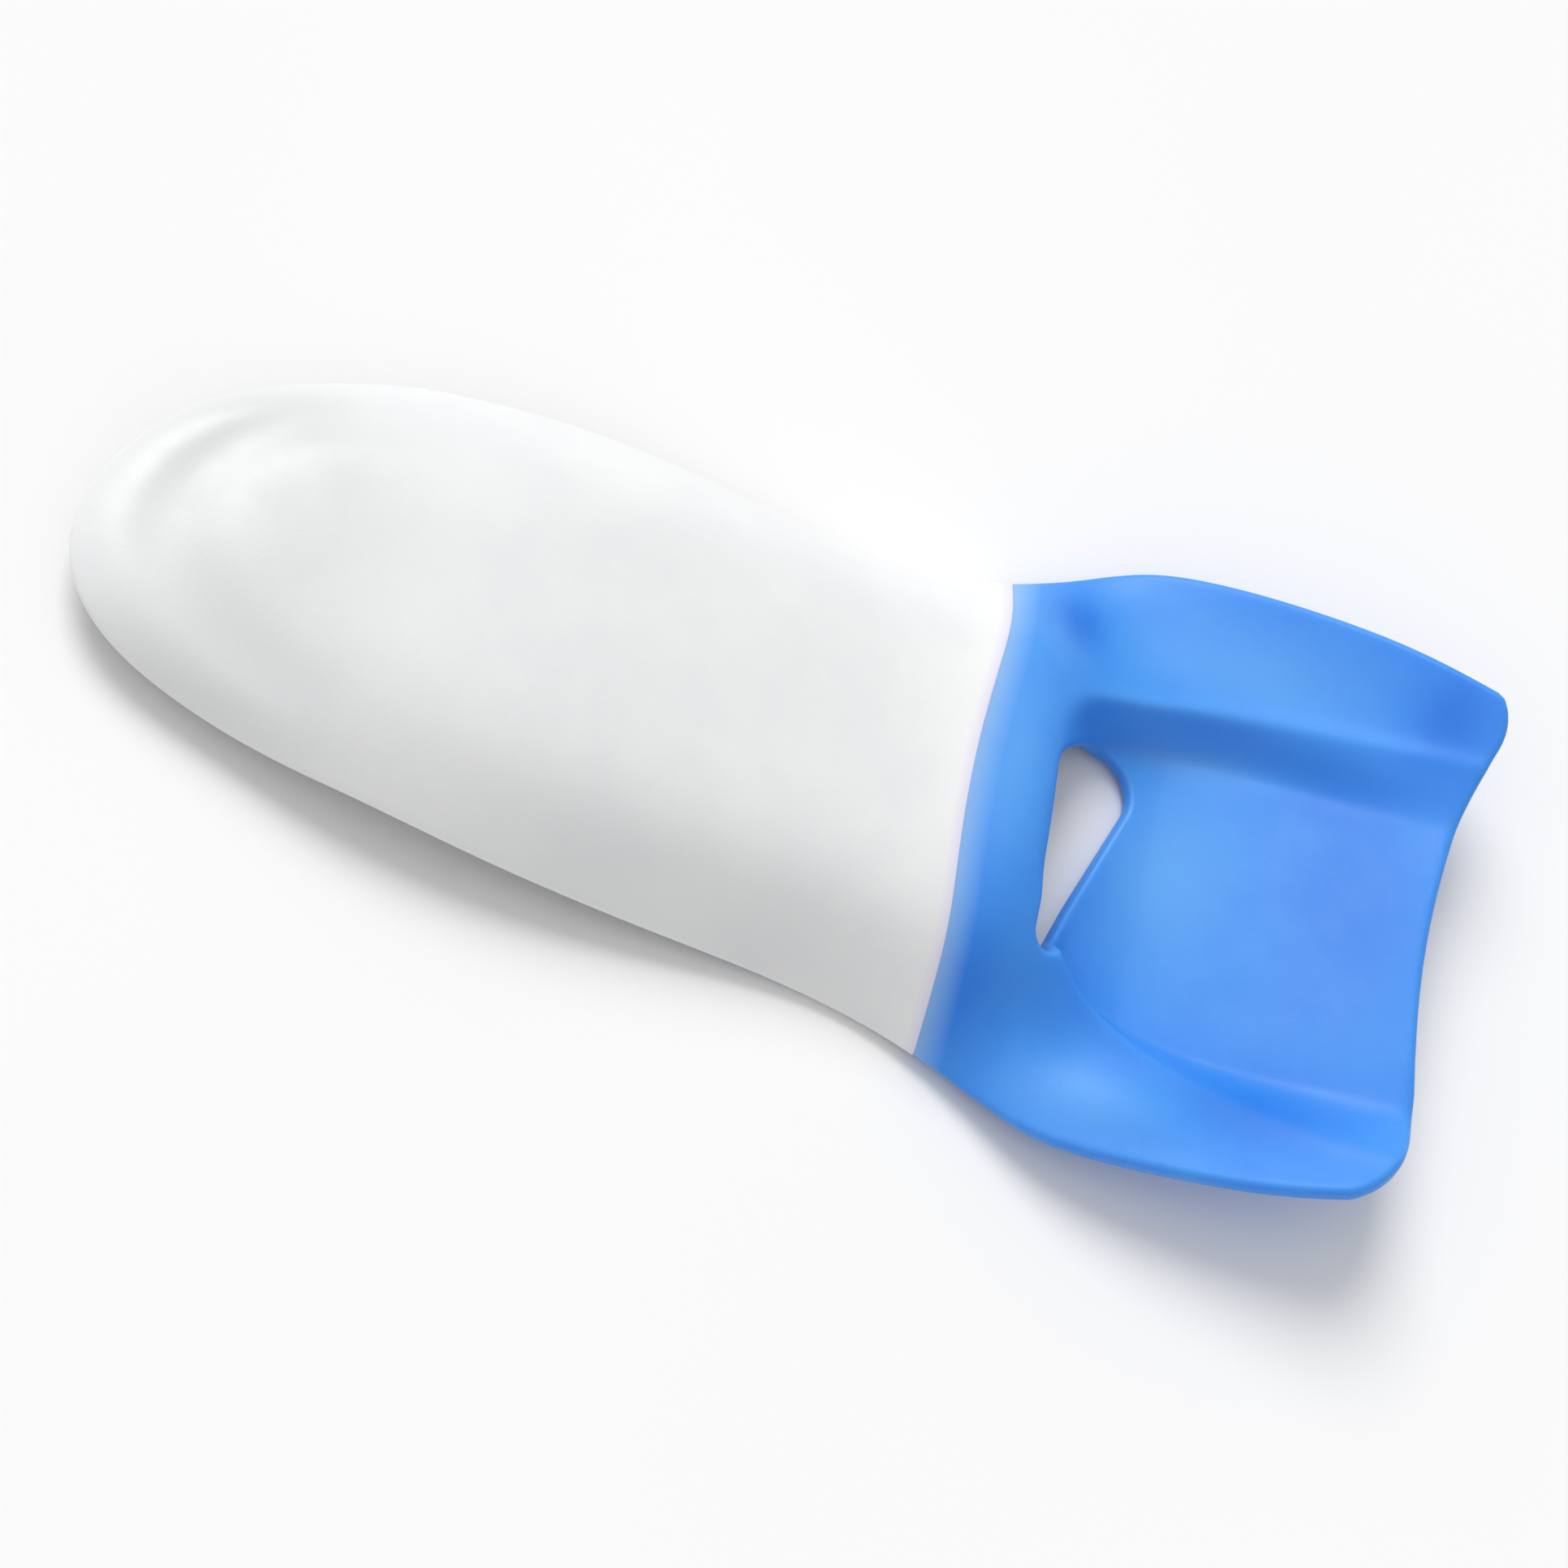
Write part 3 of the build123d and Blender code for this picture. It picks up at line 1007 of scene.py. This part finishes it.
@dataclass
class Handle:
    """Blue handle: bar, finger recess, finger slot and two wings.

    Attributes:
        form: The form of the aid.
        wall: Thickness of the wall.
        rim: Softened edge.
        cell: Size of the small faces.
    """

    form: Form
    wall: float = 4.0
    rim: Rim = Rim(radius=1.5)
    cell: float = 1.0
    slot_front: float = 20.0
    slot_back: float = 45.5
    slot_lean: float = 3.4
    slot_bar_radius: float = 7.5
    slot_bar_place: float = 8.5
    slot_back_radius: float = 9.0
    slot_back_place: float = 15.5
    slot_narrow_radius: float = 3.6
    slot_narrow_place: float = -27.5
    end_scallop: float = 10.0
    end_skew: float = 0.5
    far_corner_radius: float = 13.0
    near_corner_radius: float = 28.0
    end_inset: float = 0.5
    end_spread: float = 3.0
    end_lead: float = 45.0

    def net(self) -> np.ndarray:
        """Grid of plan points from the seam to past the end, with rows that follow the seam."""
        form = self.form
        length = form.handle_length + self.end_scallop + self.end_skew + 2 * self.cell
        ahead = np.linspace(0.0, length, int(length / self.cell))
        out = np.linspace(-1.0, 1.0, int(2 * form.wing_half_width / self.cell))
        grid_ahead, grid_out = np.meshgrid(ahead, out, indexing="ij")
        fade = np.clip(1 - grid_ahead / form.recess_full, 0.0, 1.0)
        along = grid_ahead.copy()
        for _ in range(NET_ROUNDS):
            flat = along.ravel()
            half_width = form.half_width(flat).reshape(along.shape) - self.rim.radius
            across = grid_out * half_width
            along = grid_ahead + form.seam(across) * fade
        return np.stack([along, across], axis=-1)

    def slot_corners(self) -> list[tuple[np.ndarray, float]]:
        """Centre and radius of the slot's three corners: bar side, back and narrow end."""
        bar = (self.slot_front + self.slot_bar_radius, self.slot_bar_place)
        back = (self.slot_back - self.slot_back_radius, self.slot_back_place)
        narrow = (self.slot_front + self.slot_lean + self.slot_narrow_radius, self.slot_narrow_place)
        radii = (self.slot_bar_radius, self.slot_back_radius, self.slot_narrow_radius)
        return [(np.array(centre), radius) for centre, radius in zip((bar, back, narrow), radii)]

    def slot_depth(self, point: np.ndarray) -> np.ndarray:
        """Distance outside the finger slot."""
        bar, back, narrow = self.slot_corners()
        sides = ((back, bar), (bar, narrow), (back, narrow))
        return np.minimum.reduce(
            [slot_distance(point, one, other, size, end) for (one, size), (other, end) in sides]
        )

    def end_depth(self, point: np.ndarray) -> np.ndarray:
        """Depth inside the hollowed end with its two rounded corners."""
        form = self.form
        reach = float(form.half_width(np.array([form.handle_length]))[0]) - self.end_inset
        wide = form.wing_half_width + self.end_spread
        lead = form.handle_length - self.end_lead
        far = np.array([form.handle_length + self.end_scallop + self.end_skew, reach])
        near = np.array([form.handle_length + self.end_scallop - self.end_skew, -reach])
        bottom = np.array([form.handle_length, 0.0])
        centre, radius = circle_through(far, bottom, near)
        end = np.hypot(*(point - centre).T) - radius
        far_side = beside_line(point, np.array([lead, wide]), far)
        near_side = beside_line(point, near, np.array([lead, -wide]))
        trim = self.rim.radius
        corner_far = rounded_corner(end - trim, far_side - trim, self.far_corner_radius - trim)
        corner_near = rounded_corner(end - trim, near_side - trim, self.near_corner_radius - trim)
        return np.where(point[:, 1] > 0, corner_far, corner_near)

    def depth(self, point: np.ndarray) -> np.ndarray:
        """Depth inside the handle's outline and outside its slot, less the rim's rounding."""
        side = self.form.half_width(point[:, 0]) - np.abs(point[:, 1]) - self.rim.radius
        outline = np.minimum(self.end_depth(point), side)
        return np.minimum(outline, self.slot_depth(point) - self.rim.radius)

    def build(self) -> bpy.types.Object:
        """Build the handle and dress it."""
        sheet = Sheet(self.net(), self.depth)
        sheet.cut()
        wall = Wall(self.form, self.wall, self.rim, HANDLE_PAINTED_SHADING)
        piece = wall.build("handle_shell", sheet)
        piece.data.materials.append(BLUE.make())
        return piece


def circle_through(
    first: np.ndarray, second: np.ndarray, third: np.ndarray
) -> tuple[np.ndarray, float]:
    """Centre and radius of the circle through three points in plan."""
    rows = 2 * np.array([second - first, third - first])
    sums = np.array([second @ second - first @ first, third @ third - first @ first])
    centre = np.linalg.solve(rows, sums)
    return centre, float(np.linalg.norm(first - centre))


def beside_line(point: np.ndarray, start: np.ndarray, end: np.ndarray) -> np.ndarray:
    """Distance of points to the right of a line that runs from start to end in plan."""
    run = (end - start) / np.linalg.norm(end - start)
    offset = point - start
    return offset[:, 0] * run[1] - offset[:, 1] * run[0]


# Studio
# ------


@dataclass(frozen=True)
class Lamp:
    """Distant soft lamp that lights the whole room evenly.

    Attributes:
        name: Name of the lamp.
        back: How far it hangs behind the camera, as a share of its direction.
        right: How far it hangs to the camera's right.
        up: How far it hangs above the camera.
        spread: Angle that its face fills, in degrees.
        strength: Strength of its light.
    """

    name: str
    back: float
    right: float
    up: float
    spread: float
    strength: float


LAMPS = (
    Lamp("key_lamp", back=0.48, right=0.06, up=0.86, spread=34.0, strength=1.95),
    Lamp("fill_lamp", back=1.0, right=-0.1, up=0.2, spread=60.0, strength=0.30),
)
ROOM_BRIGHTNESS = 0.50
CAMERA_REACH = 20.0
FLOOR_PALE = (0.95, 0.95, 0.95)
FLOOR_SHADED = (0.93, 0.93, 0.93)
FLOOR_ROUGHNESS = 0.8


@dataclass(frozen=True)
class Studio:
    """Pale floor, soft lights and the camera.

    Attributes:
        azimuth: Side that the camera looks from, in degrees.
        elevation: Height that it looks from, in degrees.
        roll: How far it is turned about its own line of sight, in degrees.
        distance: How far it stands from the middle of the seam, in metres.
        lens: Focal length in millimetres.
        aim: Where it points, to the right of and above the middle of the seam, in metres.
    """

    azimuth: float = -36.1
    elevation: float = 58.9
    roll: float = 52.3
    distance: float = 1.0
    lens: float = 107.7
    aim: tuple[float, float] = (-0.03905, -0.00277)

    def axes(self) -> tuple[Vector, Vector, Vector]:
        """Right, up and back directions of the camera."""
        side, height, turn = (math.radians(v) for v in (self.azimuth, self.elevation, self.roll))
        back = Vector(
            (math.sin(side) * math.cos(height), -math.cos(side) * math.cos(height), math.sin(height))
        )
        right = Vector((0, 0, 1)).cross(back).normalized()
        up = back.cross(right)
        turned = right * math.cos(turn) + up * math.sin(turn)
        return turned, back.cross(turned), back

    def camera(self, seam: Vector) -> None:
        """Set up the camera.

        Args:
            seam: Middle of the seam, in metres.
        """
        right, up, back = self.axes()
        stand = seam + back * self.distance
        target = seam + right * self.aim[0] + up * self.aim[1]
        back = (stand - target).normalized()
        right = (right - back * right.dot(back)).normalized()
        up = back.cross(right)
        data = bpy.data.cameras.new("studio_camera")
        data.lens = self.lens
        data.clip_end = CAMERA_REACH
        camera = bpy.data.objects.new("studio_camera", data)
        camera.matrix_world = Matrix((right, up, back)).transposed().to_4x4()
        camera.location = stand
        bpy.context.scene.collection.objects.link(camera)
        bpy.context.scene.camera = camera

    def hang(self, lamp: Lamp) -> None:
        """Hang one lamp where it lights the aid from its side of the camera."""
        right, up, back = self.axes()
        toward = back * lamp.back + right * lamp.right + up * lamp.up
        data = bpy.data.lights.new(lamp.name, "SUN")
        data.angle = math.radians(lamp.spread)
        data.energy = lamp.strength
        hung = bpy.data.objects.new(lamp.name, data)
        hung.rotation_euler = toward.to_track_quat("Z", "Y").to_euler()
        bpy.context.scene.collection.objects.link(hung)

    def light(self) -> None:
        """Hang the lamps and brighten the room round the aid."""
        for lamp in LAMPS:
            self.hang(lamp)
        bpy.context.scene.view_settings.view_transform = "Standard"
        world = bpy.data.worlds.new("studio_room")
        bpy.context.scene.world = world
        world.use_nodes = True
        sky = world.node_tree.nodes["Background"]
        sky.inputs["Color"].default_value = (1.0, 1.0, 1.0, 1.0)
        sky.inputs["Strength"].default_value = ROOM_BRIGHTNESS

    def floor(self, width: float = 8.0) -> bpy.types.Object:
        """Lay the pale floor under the aid."""
        half = width / 2
        points = np.array([(-half, -half, 0), (half, -half, 0), (half, half, 0), (-half, half, 0)])
        floor = mesh_piece("studio_floor", points, [(0, 1, 2, 3)])
        nodes = Nodes("studio_floor_paint")
        shade = nodes.blend(nodes.pattern(FLOOR_CLOUDS, 0.0, 1.0), FLOOR_PALE, FLOOR_SHADED)
        nodes.join(shade, nodes.surface.inputs["Base Color"])
        nodes.surface.inputs["Roughness"].default_value = FLOOR_ROUGHNESS
        floor.data.materials.append(nodes.material)
        return floor


# Putting it together
# -------------------


# How finely the outer half of the handle is searched for its highest point
SEARCH_ALONG = 115
SEARCH_ACROSS = 281
SEARCH_FROM = 0.5


@dataclass(frozen=True)
class Placing:
    """Where the seam frame stands in the aid's own frame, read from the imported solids."""

    seam: Vector

    @classmethod
    def read(cls, form: Form) -> "Placing":
        """Read it from the boxes of the two solids."""
        low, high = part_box("handle")
        toe_low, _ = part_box("tongue")
        along = toe_low.x / MM + form.tongue_length
        across = (low.y + high.y) / 2 / MM
        line = np.linspace(-form.wing_half_width, form.wing_half_width, SEARCH_ACROSS)
        places = np.linspace(SEARCH_FROM * form.handle_length, form.handle_length, SEARCH_ALONG)
        grid = np.array([(x, y) for x in places for y in line])
        handle = Handle(form)
        inside = grid[handle.end_depth(grid) + handle.rim.radius > 0]
        inside = inside[np.abs(inside[:, 1]) < form.half_width(inside[:, 0])]
        top = form.outer_height(inside[:, 0], inside[:, 1]).max()
        return cls(Vector((along, across, high.z / MM - top)))

    def put(self, piece: bpy.types.Object) -> None:
        """Move a piece to the aid's frame in metres, with lands where it meets the floor."""
        piece.data.transform(Matrix.Translation(self.seam))
        for point in piece.data.vertices:
            point.co.z = max(point.co.z, 0.0)
        piece.data.transform(Matrix.Scale(MM, 4))
        piece.data.update()


def dress(piece: bpy.types.Object, node: str) -> None:
    """Say what a shell stands for and what it rides on, and hide the solid that it stands for.

    Args:
        piece: The shell.
        node: The solid that it stands for.
    """
    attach(piece, Body.ROOT.value)
    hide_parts(node)
    log.info("%s: %d points, %d faces", piece.name, len(piece.data.vertices), len(piece.data.polygons))


def main() -> None:
    """Build the aid and its studio."""
    logging.basicConfig(level=logging.INFO, format="%(name)s %(message)s")
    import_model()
    form = Form()
    placing = Placing.read(form)
    log.info("seam at %s mm", tuple(round(value, 3) for value in placing.seam))
    studio = Studio()
    seam = placing.seam * MM
    studio.camera(seam)
    studio.light()
    studio.floor()
    for shell, node, slot in (
        (Tongue(form), "tongue", Slot.TONGUE),
        (Handle(form), "handle", Slot.HANDLE),
    ):
        piece = shell.build()
        placing.put(piece)
        dress(piece, node)


if __name__ == "__main__":
    main()
